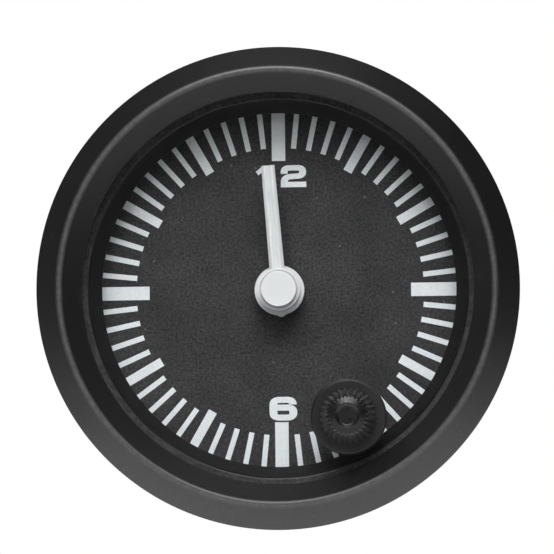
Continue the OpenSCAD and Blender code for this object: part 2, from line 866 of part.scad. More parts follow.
module stator() color(iron) upright() translate([rotor_at[0], rotor_at[1], rear_plate_front])
    linear_extrude(stator_thickness) difference() {
        union() {
            square([stator_length, stator_width], center = true);
            for (side = [-1, 1])
                translate([side * leg_place - leg_width / 2, -leg_reach]) square([leg_width, leg_reach]);
        }
        circle(stator_hole);
        for (side = [-1, 1]) translate([0, side * stator_width / 2]) circle(notch_radius);
    }

module at_coil() {
    translate([rotor_at[0], rotor_at[1] - coil_drop, core_middle]) rotate([0, 90, 0]) children();
}

module coil_core() color(iron) upright() translate([rotor_at[0], rotor_at[1] - coil_drop, 0])
    box([stator_length, core_width, stator_thickness], stator_top);

module coil_bobbin() color(black) upright() difference() {
    at_coil() {
        for (side = [-1, 1]) translate([0, 0, side * (bobbin_length - bobbin_flange) / 2])
            cylinder(r = bobbin_radius, h = bobbin_flange, center = true);
        cylinder(r = bobbin_tube, h = bobbin_length, center = true);
    }
    translate([rotor_at[0], rotor_at[1] - coil_drop, 0])
        box([stator_length, core_width + gap, stator_thickness + gap], stator_top - gap / 2);
}

module coil_winding() color(copper) upright() at_coil() difference() {
    cylinder(r = winding_radius, h = bobbin_length - 2 * bobbin_flange - gap, center = true);
    cylinder(r = bobbin_tube + seated, h = bobbin_length, center = true);
}

// Circuit board

module circuit_board() color(board_green) upright() translate([0, 0, board_back])
    linear_extrude(board_thickness) difference() {
        circle(board_radius);
        translate([-board_radius, board_top_cut]) square(2 * board_radius);
        at_pillars() circle(screw_radius + running);
        at_blades() square([blade_width + gap, blade_gauge + gap], center = true);
    }

module quartz_crystal() color(steel) upright()
    translate([crystal_at[0], crystal_at[1], board_back - crystal_radius - seated]) rotate([0, 90, 0])
    cylinder(r = crystal_radius, h = crystal_length, center = true);

module control_chip() color(black) upright() translate([chip_at[0], chip_at[1], 0])
    box(chip_size, board_back - chip_size[2]);

module capacitor() color(iron) upright() translate([capacitor_at[0], capacitor_at[1], 0])
    disc(capacitor_radius, board_back - capacitor_height, board_back);

// Rear fittings

module blade_terminals() color(brass) upright() at_blades() difference() {
    box([blade_width, blade_gauge, board_front - blade_end + gap], blade_end);
    translate([0, 0, blade_end + blade_hole_in]) rotate([90, 0, 0])
        cylinder(r = blade_hole, h = blade_gauge + 2 * over, center = true);
    for (side = [-1, 1]) translate([side * blade_width / 2, 0, blade_end]) rotate([0, 45, 0])
        cube([blade_chamfer, blade_gauge + 2 * over, blade_chamfer], center = true);
}

module clamp_studs() color(steel) upright() at_studs() {
    disc(stud_radius, stud_end + stud_chamfer, rear_outside - nut_height);
    translate([0, 0, stud_end])
        cylinder(r1 = stud_radius - stud_chamfer, r2 = stud_radius, h = stud_chamfer);
    disc(stud_shank_radius, rear_outside - nut_height, rear_inside);
    disc(stud_head_radius, rear_inside, rear_inside + stud_head_height);
}

module stud_nuts() color(steel) upright() at_studs() difference() {
    translate([0, 0, rear_outside - nut_height]) cylinder(r = nut_radius, h = nut_height, $fn = 6);
    disc(stud_shank_radius + running, rear_outside - nut_height - over, rear_outside + over);
}

module lamp_holder() color(black) upright() at_lamp() difference() {
    union() {
        disc(lamp_flange_radius, rear_outside - lamp_flange_height, rear_outside);
        disc(lamp_body_radius, rear_outside, lamp_body_top);
        box(lamp_grip, rear_outside - lamp_flange_height - lamp_grip[2]);
        box(lamp_lug, rear_inside + gap);
    }
    disc(bulb_radius + running, bulb_seat, lamp_body_top + over);
}

module lamp_contacts() color(brass) upright() at_lamp() for (side = [-1, 1])
    translate([0, side * contact_place, 0])
    box(contact_size, rear_outside - lamp_flange_height - contact_size[2]);

module lamp_bulb() color(clear) upright() at_lamp() {
    disc(bulb_radius, bulb_seat, bulb_seat + bulb_length);
    translate([0, 0, bulb_seat + bulb_length]) sphere(bulb_radius);
}

bezel();
lens();
lens_seal();
panel_gasket();
case();
dial_ring();
dial();
dial_marks();
minute_hand();
hour_hand();
hub_cap();
setting_knob();
setting_stem();
setting_pinion();
stem_bush();
bush_nut();
stem_seal();
stem_clip();
thrust_washer();
return_spring();
front_plate();
rear_plate();
plate_screws();
centre_arbor();
centre_wheel();
cannon_pinion();
minute_wheel();
minute_post();
hour_wheel();
third_wheel();
rotor_pinion();
rotor_magnet();
stator();
coil_core();
coil_bobbin();
coil_winding();
circuit_board();
quartz_crystal();
control_chip();
capacitor();
blade_terminals();
clamp_studs();
stud_nuts();
lamp_holder();
lamp_contacts();
lamp_bulb();
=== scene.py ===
import bpy
import math
from mathutils import Matrix, Vector


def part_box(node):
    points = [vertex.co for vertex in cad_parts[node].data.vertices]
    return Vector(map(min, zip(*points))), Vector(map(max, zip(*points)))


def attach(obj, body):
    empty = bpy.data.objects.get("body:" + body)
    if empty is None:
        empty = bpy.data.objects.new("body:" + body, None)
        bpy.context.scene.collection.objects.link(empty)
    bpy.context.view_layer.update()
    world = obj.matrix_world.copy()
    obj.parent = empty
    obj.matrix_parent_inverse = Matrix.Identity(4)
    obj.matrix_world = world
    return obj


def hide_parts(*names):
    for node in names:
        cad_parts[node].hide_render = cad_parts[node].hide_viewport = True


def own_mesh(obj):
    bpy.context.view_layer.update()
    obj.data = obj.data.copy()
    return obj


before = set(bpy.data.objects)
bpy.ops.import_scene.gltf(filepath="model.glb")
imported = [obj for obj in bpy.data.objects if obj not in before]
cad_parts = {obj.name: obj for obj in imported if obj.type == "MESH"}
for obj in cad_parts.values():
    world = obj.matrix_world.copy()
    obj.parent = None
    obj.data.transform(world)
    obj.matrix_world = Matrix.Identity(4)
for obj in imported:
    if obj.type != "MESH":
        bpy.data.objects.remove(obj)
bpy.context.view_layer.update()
mm = 0.001


# Case
# The cup that passes through the panel, one moulding in black plastic with a spark-eroded skin.
# Its flange carries the bezel, and the movement slides in from the front.

def new_finish(name, roughness):
    finish = bpy.data.materials.new(name)
    finish.use_nodes = True
    shader = finish.node_tree.nodes["Principled BSDF"]
    shader.inputs["Roughness"].default_value = roughness
    return finish, finish.node_tree, shader


def new_effect(name, inputs, outputs):
    effect = bpy.data.node_groups.new(name, "ShaderNodeTree")
    for socket, value in inputs.items():
        made = effect.interface.new_socket(socket, in_out="INPUT", socket_type="NodeSocketFloat")
        made.default_value = value
    for socket in outputs:
        effect.interface.new_socket(socket, in_out="OUTPUT", socket_type="NodeSocketFloat")
    return effect, effect.nodes.new("NodeGroupInput"), effect.nodes.new("NodeGroupOutput")


def use_effect(tree, effect, **values):
    node = tree.nodes.new("ShaderNodeGroup")
    node.node_tree = effect
    for socket, value in values.items():
        node.inputs[socket].default_value = value
    return node.outputs


def feed(tree, socket, value):
    """Links an output to a socket, or sets the socket to a number or a colour."""
    if isinstance(value, bpy.types.NodeSocket):
        tree.links.new(value, socket)
    elif isinstance(value, float):
        socket.default_value = value
    else:
        socket.default_value = (*value, 1)


def calculate(tree, operation, *values):
    node = tree.nodes.new("ShaderNodeMath")
    node.operation = operation
    for socket, value in zip(node.inputs, values):
        feed(tree, socket, value)
    return node.outputs["Value"]


def tint(tree, mask, first, second):
    """The first colour where the mask is 0, and the second where it is 1."""
    mix = tree.nodes.new("ShaderNodeMix")
    mix.data_type = "RGBA"
    sockets = {socket.identifier: socket for socket in (*mix.inputs, *mix.outputs)}
    feed(tree, sockets["Factor_Float"], mask)
    feed(tree, sockets["A_Color"], first)
    feed(tree, sockets["B_Color"], second)
    return sockets["Result_Color"]


def spread(tree, value, low, high, start, end):
    """Low where the value is at its start, high where it is at its end."""
    ramp = tree.nodes.new("ShaderNodeMapRange")
    ramp.inputs["From Min"].default_value = start
    ramp.inputs["From Max"].default_value = end
    ramp.inputs["To Min"].default_value = low
    ramp.inputs["To Max"].default_value = high
    tree.links.new(value, ramp.inputs["Value"])
    return ramp.outputs["Result"]


def mottle(tree, noise, dark, light, start=0.35, end=0.65):
    """A dark colour that a noise breaks up with a lighter one."""
    return tint(tree, spread(tree, noise, low=0, high=1, start=start, end=end), dark, light)


def relief(tree, shader, height, depth):
    bump = tree.nodes.new("ShaderNodeBump")
    bump.inputs["Distance"].default_value = depth
    tree.links.new(height, bump.inputs["Height"])
    tree.links.new(bump.outputs["Normal"], shader.inputs["Normal"])


# Grain of a mould's skin, and the broad unevenness of a moulding
grain, grain_in, grain_out = new_effect("moulded_grain", {"Scale": 4000.0}, ["Grain", "Patch"])
grain_place = grain.nodes.new("ShaderNodeTexCoord")
grain_fine = grain.nodes.new("ShaderNodeTexNoise")
grain_fine.inputs["Detail"].default_value = 3.0
grain_broad = grain.nodes.new("ShaderNodeTexNoise")
grain_broad.inputs["Scale"].default_value = 130.0
grain_broad.inputs["Detail"].default_value = 5.0
grain.links.new(grain_in.outputs["Scale"], grain_fine.inputs["Scale"])
for noise, socket in ((grain_fine, "Grain"), (grain_broad, "Patch")):
    grain.links.new(grain_place.outputs["Object"], noise.inputs["Vector"])
    grain.links.new(noise.outputs["Fac"], grain_out.inputs[socket])

# Loose dust: small pale specks, thinly scattered
dust, dust_in, dust_out = new_effect("dust_specks", {"Scale": 900.0, "Size": 0.1}, ["Dust"])
dust_place = dust.nodes.new("ShaderNodeTexCoord")
dust_cells = dust.nodes.new("ShaderNodeTexVoronoi")
dust.links.new(dust_place.outputs["Object"], dust_cells.inputs["Vector"])
dust.links.new(dust_in.outputs["Scale"], dust_cells.inputs["Scale"])
dust_near = calculate(
    dust, "LESS_THAN", dust_cells.outputs["Distance"], dust_in.outputs["Size"])
dust.links.new(dust_near, dust_out.inputs["Dust"])


def moulded_plastic(name, dark, light, roughness, scale, depth, dust_size=0.05):
    finish, tree, shader = new_finish(name, roughness)
    smoothest, roughest = roughness - 0.07, roughness + 0.09
    dusty = [0.6 * channel + 0.12 for channel in light]
    skin = use_effect(tree, grain, Scale=scale)
    specks = use_effect(tree, dust, Size=dust_size)
    colour = mottle(tree, skin["Patch"], dark, light, start=0.3, end=0.7)
    tree.links.new(tint(tree, specks["Dust"], colour, dusty), shader.inputs["Base Color"])
    rough = spread(tree, skin["Grain"], smoothest, roughest, start=0.3, end=0.7)
    tree.links.new(rough, shader.inputs["Roughness"])
    relief(tree, shader, skin["Grain"], depth)
    return finish


def dress(finish, *nodes):
    for name in nodes:
        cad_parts[name].material_slots[0].material = finish


case_finish = moulded_plastic(
    "case_black", (0.016, 0.016, 0.017), (0.026, 0.026, 0.027),
    roughness=0.5, scale=3000.0, depth=0.004 * mm)
dress(case_finish, "case")


# Clamp studs
# Two zinc-plated studs with rolled threads; the head sits inside the rear wall, a nut outside.
# The panel clamp's strap slides on to them and is drawn up by nuts of its own.

def only(piece):
    bpy.ops.object.select_all(action="DESELECT")
    piece.select_set(True)
    bpy.context.view_layer.objects.active = piece


def edit_all(piece):
    """Opens a piece in edit mode with all of it selected."""
    only(piece)
    bpy.ops.object.mode_set(mode="EDIT")
    bpy.ops.mesh.select_all(action="SELECT")


def apply_modifiers(piece):
    only(piece)
    for modifier in list(piece.modifiers):
        bpy.ops.object.modifier_apply(modifier=modifier.name)


def new_plane(name, size, at=(0, 0, 0), turn=(0, 0, 0)):
    bpy.ops.object.select_all(action="DESELECT")
    bpy.ops.mesh.primitive_plane_add(size=size, location=at, rotation=turn)
    piece = bpy.context.object
    piece.name = name
    return piece


def drawn(name, outline):
    """A line of edges through (radius, distance along +Y) points, extruded point by point."""
    piece = new_plane(name, mm)
    edit_all(piece)
    bpy.ops.mesh.merge(type="CENTER")
    bpy.ops.transform.translate(value=(*outline[0], 0))
    for before, after in zip(outline, outline[1:]):
        step = (after[0] - before[0], after[1] - before[1], 0)
        bpy.ops.mesh.extrude_region_move(TRANSFORM_OT_translate={"value": step})
    bpy.ops.object.mode_set(mode="OBJECT")
    return piece


def close_shell(piece):
    """Merges the doubles that a spin leaves, fills open ends and turns the faces outwards."""
    edit_all(piece)
    bpy.ops.mesh.remove_doubles(threshold=0.001 * mm)
    bpy.ops.mesh.select_all(action="DESELECT")
    bpy.ops.mesh.select_non_manifold()
    if piece.data.total_edge_sel:
        bpy.ops.mesh.fill()
    bpy.ops.mesh.select_all(action="SELECT")
    bpy.ops.mesh.normals_make_consistent(inside=False)
    bpy.ops.object.mode_set(mode="OBJECT")


def turned(name, outline, steps):
    """A lathe piece: an outline as in drawn, spun round the Y axis."""
    piece = drawn(name, outline)
    spin = piece.modifiers.new("spin", "SCREW")
    spin.axis = "Y"
    spin.steps = spin.render_steps = steps
    spin.use_merge_vertices = True
    spin.merge_threshold = 0.001 * mm
    apply_modifiers(piece)
    close_shell(piece)
    return piece


def shift(piece, way):
    edit_all(piece)
    bpy.ops.transform.translate(value=way)
    bpy.ops.object.mode_set(mode="OBJECT")


def settle(piece, body, finish, smooth_angle=30):
    only(piece)
    bpy.ops.object.shade_smooth_by_angle(angle=math.radians(smooth_angle))
    piece.data.materials.clear()
    piece.data.materials.append(finish)
    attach(piece, body)


# Lines that a lathe, a press or a drawing die leaves along a metal, and its dull patches
metal, metal_in, metal_out = new_effect(
    "metal_lines", {"Across": 9000.0, "Along": 500.0}, ["Lines", "Patch"])
metal_place = metal.nodes.new("ShaderNodeTexCoord")
metal_split = metal.nodes.new("ShaderNodeSeparateXYZ")
metal_join = metal.nodes.new("ShaderNodeCombineXYZ")
metal_noise = metal.nodes.new("ShaderNodeTexNoise")
metal_noise.inputs["Scale"].default_value = 1.0
metal_patch = metal.nodes.new("ShaderNodeTexNoise")
metal_patch.inputs["Scale"].default_value = 600.0
metal_patch.inputs["Detail"].default_value = 6.0
metal.links.new(metal_place.outputs["Object"], metal_split.inputs["Vector"])
for axis, size in (("X", "Along"), ("Y", "Across"), ("Z", "Along")):
    metal_size = calculate(metal, "MULTIPLY", metal_split.outputs[axis], metal_in.outputs[size])
    metal.links.new(metal_size, metal_join.inputs[axis])
metal.links.new(metal_join.outputs["Vector"], metal_noise.inputs["Vector"])
metal.links.new(metal_place.outputs["Object"], metal_patch.inputs["Vector"])
metal.links.new(metal_noise.outputs["Fac"], metal_out.inputs["Lines"])
metal.links.new(metal_patch.outputs["Fac"], metal_out.inputs["Patch"])


def worked_metal(name, dark, light, roughness):
    finish, tree, shader = new_finish(name, roughness)
    shader.inputs["Metallic"].default_value = 1.0
    dullest, brightest = roughness + 0.12, roughness - 0.08
    line_depth = 0.0015 * mm
    marks = use_effect(tree, metal)
    tree.links.new(mottle(tree, marks["Patch"], dark, light), shader.inputs["Base Color"])
    rough = spread(tree, marks["Patch"], dullest, brightest, start=0.3, end=0.7)
    tree.links.new(rough, shader.inputs["Roughness"])
    relief(tree, shader, marks["Lines"], line_depth)
    return finish


zinc = worked_metal("zinc_plate", (0.52, 0.53, 0.54), (0.68, 0.69, 0.70), roughness=0.34)
stud_low, stud_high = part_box("clamp_studs")
nut_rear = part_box("stud_nuts")[1].y
head_radius, head_height, head_edge = stud_high.z, 2.0 * mm, 0.3 * mm
stud_offset = (stud_high.x - stud_low.x) / 2 - head_radius
shank_radius, core_radius, thread_radius = 2.7 * mm, 2.06 * mm, 2.4 * mm
tip_length, stud_steps = 0.5 * mm, 48
stud_pair = turned("clamp_stud_pair", [
    (0, stud_low.y),
    (head_radius - head_edge, stud_low.y),
    (head_radius, stud_low.y + head_edge),
    (head_radius, stud_low.y + head_height),
    (shank_radius, stud_low.y + head_height),
    (shank_radius, nut_rear),
    (core_radius, nut_rear),
    (core_radius, stud_high.y - tip_length),
    (core_radius - tip_length / 2, stud_high.y),
    (0, stud_high.y),
], stud_steps)
thread_pitch, thread_turns, thread_steps = 0.8 * mm, 15, 32
thread_root, thread_start = core_radius - 0.05 * mm, nut_rear - 0.4 * mm
thread_section = [
    (thread_root, thread_start + 0.03 * mm),
    (thread_radius, thread_start + 0.33 * mm),
    (thread_radius, thread_start + 0.43 * mm),
    (thread_root, thread_start + 0.73 * mm),
]
thread = drawn("thread", thread_section + thread_section[:1])
winding = thread.modifiers.new("winding", "SCREW")
winding.axis = "Y"
winding.steps = winding.render_steps = thread_steps
winding.iterations = thread_turns
winding.screw_offset = thread_pitch
apply_modifiers(thread)
close_shell(thread)
rolled = stud_pair.modifiers.new("rolled_thread", "BOOLEAN")
rolled.operation = "UNION"
rolled.solver = "EXACT"
rolled.object = thread
apply_modifiers(stud_pair)
bpy.data.objects.remove(thread)
second_stud = stud_pair.copy()
second_stud.data = stud_pair.data.copy()
bpy.context.scene.collection.objects.link(second_stud)
shift(stud_pair, (stud_offset, 0, 0))
shift(second_stud, (-stud_offset, 0, 0))
only(stud_pair)
second_stud.select_set(True)
bpy.ops.object.join()
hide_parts("clamp_studs")
settle(stud_pair, "case", zinc, smooth_angle=25)


# Stud nuts
# Plain hexagon nuts in zinc-plated steel that hold the studs in the rear wall.
# Their corners are broken where the bar was turned down.

def copied(node, name):
    """A new piece with a copy of a node's mesh, its loose triangles merged."""
    piece = bpy.data.objects.new(name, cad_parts[node].data.copy())
    bpy.context.scene.collection.objects.link(piece)
    only(piece)
    bpy.ops.mesh.customdata_custom_splitnormals_clear()
    edit_all(piece)
    bpy.ops.mesh.remove_doubles(threshold=0.002 * mm)
    bpy.ops.object.mode_set(mode="OBJECT")
    return piece


def soften(node, name, width):
    """A copy of a node with its sharp edges broken, as a mould or a press leaves them."""
    flat_angle, sharp_angle = math.radians(0.5), math.radians(35)
    piece = copied(node, name)
    edit_all(piece)
    bpy.ops.mesh.dissolve_limited(angle_limit=flat_angle)
    bpy.ops.object.mode_set(mode="OBJECT")
    edges = piece.modifiers.new("broken_edges", "BEVEL")
    edges.width = width
    edges.segments = 2
    edges.limit_method = "ANGLE"
    edges.angle_limit = sharp_angle
    apply_modifiers(piece)
    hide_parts(node)
    return piece


nut_pair = soften("stud_nuts", "stud_nut_pair", width=0.35 * mm)
settle(nut_pair, "case", zinc)


# Blade terminals
# Two flat tabs stamped from tinned brass for push-on connectors.
# They are soldered to the circuit board and pass through slots in the rear wall.
tinned_brass = worked_metal(
    "tinned_brass", (0.55, 0.50, 0.38), (0.72, 0.70, 0.62), roughness=0.3)
blade_pair = soften("blade_terminals", "blade_terminal_pair", width=0.12 * mm)
settle(blade_pair, "case", tinned_brass)


# Dial lamp
# A twist-in holder moulded in black plastic, with a wedge bulb and two spring contacts.
# It locks into the rear wall with two lugs and shines into the movement's light well.
holder_finish = moulded_plastic(
    "holder_black", (0.02, 0.019, 0.018), (0.032, 0.031, 0.03),
    roughness=0.42, scale=2600.0, depth=0.003 * mm)
lamp_body = soften("lamp_holder", "lamp_holder_body", width=0.2 * mm)
settle(lamp_body, "case", holder_finish)
contact_brass = worked_metal(
    "contact_brass", (0.58, 0.42, 0.18), (0.78, 0.62, 0.32), roughness=0.28)
contact_pair = soften("lamp_contacts", "lamp_contact_pair", width=0.1 * mm)
settle(contact_pair, "case", contact_brass)


def clear_finish(name, roughness, refraction):
    """Clear moulding or glass that lets the lamps' light through to what lies behind it."""
    finish, tree, shader = new_finish(name, roughness)
    shader.inputs["Base Color"].default_value = (1, 1, 1, 1)
    shader.inputs["Transmission Weight"].default_value = 1.0
    shader.inputs["IOR"].default_value = refraction
    skin = use_effect(tree, grain, Scale=250.0)
    smear = spread(tree, skin["Patch"], low=0, high=roughness, start=0.45, end=0.75)
    tree.links.new(smear, shader.inputs["Roughness"])
    path = tree.nodes.new("ShaderNodeLightPath")
    through = tree.nodes.new("ShaderNodeBsdfTransparent")
    choose = tree.nodes.new("ShaderNodeMixShader")
    tree.links.new(path.outputs["Is Shadow Ray"], choose.inputs[0])
    tree.links.new(shader.outputs[0], choose.inputs[1])
    tree.links.new(through.outputs[0], choose.inputs[2])
    tree.links.new(choose.outputs[0], tree.nodes["Material Output"].inputs["Surface"])
    return finish


dress(clear_finish("bulb_clear", roughness=0.02, refraction=1.5), "lamp_bulb")


# Circuit board and its parts
# Glass-cloth laminate with a green mask; the crystal, chip and capacitor face the rear.
# Three screws through the pillars hold board and plates together.
board_finish, board_tree, board_shader = new_finish("board_green", roughness=0.4)
board_skin = use_effect(board_tree, grain, Scale=700.0)
board_cloth = board_tree.nodes.new("ShaderNodeTexBrick")
board_place = board_tree.nodes.new("ShaderNodeTexCoord")
board_turn = board_tree.nodes.new("ShaderNodeMapping")
board_turn.inputs["Rotation"].default_value = (math.radians(90), 0, 0)
board_cloth.inputs["Scale"].default_value = 420.0
board_cloth.inputs["Color1"].default_value = (0.012, 0.07, 0.03, 1)
board_cloth.inputs["Color2"].default_value = (0.016, 0.10, 0.045, 1)
board_cloth.inputs["Mortar"].default_value = (0.03, 0.16, 0.07, 1)
board_tree.links.new(board_place.outputs["Object"], board_turn.inputs["Vector"])
board_tree.links.new(board_turn.outputs["Vector"], board_cloth.inputs["Vector"])
board_colour = tint(
    board_tree, board_skin["Patch"], board_cloth.outputs["Color"], (0.014, 0.085, 0.036))
board_tree.links.new(board_colour, board_shader.inputs["Base Color"])
relief(board_tree, board_shader, board_skin["Grain"], depth=0.004 * mm)
dress(board_finish, "circuit_board")
crystal_can = worked_metal("crystal_can", (0.6, 0.6, 0.6), (0.75, 0.75, 0.74), roughness=0.25)
dress(crystal_can, "quartz_crystal")
chip_epoxy = moulded_plastic(
    "chip_epoxy", (0.014, 0.014, 0.015), (0.022, 0.022, 0.023),
    roughness=0.6, scale=5000.0, depth=0.003 * mm)
dress(chip_epoxy, "control_chip")
capacitor_sleeve = moulded_plastic(
    "capacitor_sleeve", (0.01, 0.02, 0.06), (0.016, 0.03, 0.085),
    roughness=0.3, scale=1500.0, depth=0.002 * mm)
dress(capacitor_sleeve, "capacitor")


# Step motor
# A soft-iron stator and core with a wound bobbin, and a two-pole magnet on the rotor.
# The winding is enamelled copper, laid in fine close turns.
motor_iron = worked_metal("motor_iron", (0.30, 0.30, 0.31), (0.42, 0.42, 0.43), roughness=0.42)
dress(motor_iron, "stator", "coil_core")
magnet_grey = worked_metal("magnet_grey", (0.10, 0.10, 0.11), (0.16, 0.16, 0.17), roughness=0.5)
dress(magnet_grey, "rotor_magnet")
bobbin_black = moulded_plastic(
    "bobbin_black", (0.02, 0.02, 0.021), (0.03, 0.03, 0.031),
    roughness=0.45, scale=3000.0, depth=0.002 * mm)
dress(bobbin_black, "coil_bobbin")
wire_finish, wire_tree, wire_shader = new_finish("enamelled_copper", roughness=0.25)
wire_shader.inputs["Metallic"].default_value = 1.0
wire_place = wire_tree.nodes.new("ShaderNodeTexCoord")
wire_turns = wire_tree.nodes.new("ShaderNodeTexWave")
wire_turns.inputs["Scale"].default_value = 900.0
wire_turns.inputs["Distortion"].default_value = 0.6
wire_tree.links.new(wire_place.outputs["Object"], wire_turns.inputs["Vector"])
wire_colour = tint(
    wire_tree, wire_turns.outputs["Fac"], (0.28, 0.09, 0.03), (0.72, 0.33, 0.14))
wire_tree.links.new(wire_colour, wire_shader.inputs["Base Color"])
relief(wire_tree, wire_shader, wire_turns.outputs["Fac"], depth=0.03 * mm)
dress(wire_finish, "coil_winding")


# Movement plates
# Two plates moulded in ivory acetal that carry every pivot, held by three steel screws.
# The front plate also holds the dial's feet and the well of the setting spring.
plate_ivory = moulded_plastic(
    "plate_ivory", (0.60, 0.57, 0.47), (0.70, 0.67, 0.58),
    roughness=0.4, scale=1800.0, depth=0.003 * mm)
dress(plate_ivory, "front_plate", "rear_plate")
screw_steel = worked_metal("screw_steel", (0.45, 0.45, 0.46), (0.62, 0.62, 0.63), roughness=0.3)
dress(screw_steel, "plate_screws")


# Wheels
# The going train and the twelve-to-one motion work: brass where it meshes with steel or is small,
# acetal for the minute and hour wheels and the rotor's pinion.
wheel_brass = worked_metal("wheel_brass", (0.62, 0.45, 0.16), (0.80, 0.64, 0.30), roughness=0.27)
dress(wheel_brass, "centre_wheel", "cannon_pinion", "third_wheel")
wheel_acetal = moulded_plastic(
    "wheel_acetal", (0.66, 0.64, 0.58), (0.76, 0.74, 0.69),
    roughness=0.35, scale=1800.0, depth=0.002 * mm)
dress(wheel_acetal, "minute_wheel", "hour_wheel", "rotor_pinion")
dress(screw_steel, "centre_arbor", "minute_post")


# Dial
# A thin plate sprayed matt charcoal, with a fine speckle and a faint cloudiness in the paint.
# Two feet on its back press into the front plate.
dial_finish, dial_tree, dial_shader = new_finish("dial_charcoal", roughness=0.75)
dial_shader.inputs["Specular IOR Level"].default_value = 0.25
dial_skin = use_effect(dial_tree, grain, Scale=3300.0)
dial_dust = use_effect(dial_tree, dust, Scale=420.0, Size=0.05)
dial_dull = mottle(dial_tree, dial_skin["Grain"],
                   (0.008, 0.008, 0.009), (0.044, 0.044, 0.045), start=0.3, end=0.7)
dial_worn = mottle(dial_tree, dial_skin["Grain"],
                   (0.018, 0.018, 0.019), (0.074, 0.074, 0.075), start=0.3, end=0.7)
dial_grey = mottle(dial_tree, dial_skin["Patch"], dial_dull, dial_worn)
dial_dusty = tint(dial_tree, dial_dust["Dust"], dial_grey, (0.14, 0.14, 0.15))
dial_tree.links.new(dial_dusty, dial_shader.inputs["Base Color"])
dial_rough = spread(dial_tree, dial_skin["Patch"], low=0.68, high=0.82, start=0.35, end=0.65)
dial_tree.links.new(dial_rough, dial_shader.inputs["Roughness"])
relief(dial_tree, dial_shader, dial_skin["Grain"], depth=0.006 * mm)
dress(dial_finish, "dial")


# Minute marks and numerals
# Screen-printed in white ink, a few hundredths thick, slightly uneven like all thick ink.
# Sixty marks in three widths, and plain figures at twelve and six.
ink_finish, ink_tree, ink_shader = new_finish("white_ink", roughness=0.6)
ink_skin = use_effect(ink_tree, grain, Scale=2600.0)
ink_colour = mottle(ink_tree, ink_skin["Grain"], (0.74, 0.79, 0.81), (0.82, 0.86, 0.87))
ink_tree.links.new(ink_colour, ink_shader.inputs["Base Color"])
relief(ink_tree, ink_shader, ink_skin["Grain"], depth=0.004 * mm)
dress(ink_finish, "dial_marks")


def rounded_path(corners):
    """Points along a path of (x, y, rounding) corners, with each corner turned into a curve."""
    steps = 8
    path = []
    for i, (x, y, rounding) in enumerate(corners):
        here = Vector((x, y))
        if i in (0, len(corners) - 1) or rounding == 0:
            path.append(here)
            continue
        start = here + (Vector(corners[i - 1][:2]) - here).normalized() * rounding
        end = here + (Vector(corners[i + 1][:2]) - here).normalized() * rounding
        for k in range(steps + 1):
            share = k / steps
            rest = 1 - share
            path.append(start * rest ** 2 + here * 2 * share * rest + end * share ** 2)
    return path


def pen_outline(path, width):
    """The closed outline of a stroke of even width along a path."""
    left, right = [], []
    for i, here in enumerate(path):
        back = (here - path[i - 1]).normalized() if i else (path[1] - here).normalized()
        ahead = (path[i + 1] - here).normalized() if i + 1 < len(path) else back
        way = (back + ahead).normalized()
        reach = width / 2 / max(way.dot(ahead), 0.5)
        side = Vector((-way.y, way.x)) * reach
        left.append(here + side)
        right.append(here - side)
    return left + right[::-1]


def ink_shape(outline, stretch, centre, thickness):
    """A flat figure of a given thickness from an outline in millimetres."""
    drawing = bpy.data.curves.new("figure", "CURVE")
    drawing.dimensions = "2D"
    drawing.fill_mode = "BOTH"
    spline = drawing.splines.new("POLY")
    spline.points.add(len(outline) - 1)
    spline.use_cyclic_u = True
    for point, (x, y) in zip(spline.points, outline):
        point.co = ((x * stretch + centre[0]) * mm, (y + centre[1]) * mm, 0, 1)
    piece = bpy.data.objects.new("figure", drawing)
    bpy.context.scene.collection.objects.link(piece)
    only(piece)
    bpy.ops.object.convert(target="MESH")
    piece = bpy.context.object
    edit_all(piece)
    bpy.ops.mesh.dissolve_limited(angle_limit=math.radians(0.1))
    bpy.ops.mesh.extrude_region_move(TRANSFORM_OT_translate={"value": (0, 0, thickness)})
    bpy.ops.mesh.select_all(action="SELECT")
    bpy.ops.mesh.normals_make_consistent(inside=False)
    bpy.ops.object.mode_set(mode="OBJECT")
    return piece


def stand_on_dial(piece, face):
    only(piece)
    piece.rotation_euler = (math.radians(90), 0, 0)
    piece.location = (0, face, 0)
    bpy.ops.object.transform_apply(location=True, rotation=True, scale=True)


# The figures' paths and places are in millimetres
dial_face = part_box("dial")[0].y
ink_thickness = 0.05 * mm
two_centre, one_centre, six_centre = (1.86, 14.6), (-1.72, 14.6), (0.2, -14.85)
two_stroke, six_stroke, figure_stretch = 0.68, 0.76, 1.3
two_path = rounded_path([
    (-0.9, 0.32, 0), (-0.9, 1.06, 0.5), (0.9, 1.06, 0.5), (0.9, 0.04, 0.5),
    (-0.9, -0.1, 0.62), (-0.9, -1.06, 0), (1.24, -1.06, 0),
])
two = ink_shape(pen_outline(two_path, two_stroke), figure_stretch, two_centre, ink_thickness)
one_outline = [
    (0.36, 1.4), (0.36, -1.4), (-0.36, -1.4), (-0.36, 0.56),
    (-0.86, 0.16), (-1.2, 0.62), (-0.2, 1.4),
]
one = ink_shape(one_outline, 1.0, one_centre, ink_thickness)
six_path = rounded_path([
    (0.93, 0.52, 0), (0.93, 1.12, 0.55), (-0.95, 1.12, 0.62), (-0.95, -1.12, 0.62),
    (0.98, -1.12, 0.62), (0.98, 0.14, 0.55), (-0.6, 0.14, 0),
])
six = ink_shape(pen_outline(six_path, six_stroke), figure_stretch, six_centre, ink_thickness)
only(two)
one.select_set(True)
bpy.ops.object.join()
for figure, figure_name in ((two, "numeral_twelve"), (six, "numeral_six")):
    figure.name = figure_name
    stand_on_dial(figure, dial_face)
    settle(figure, "case", ink_finish)


# Dial ring
# A black conical ring between dial and lens; its edge hides the marks' outer ends.
# It drops into the case on top of the dial, and its flat flange carries the lens.

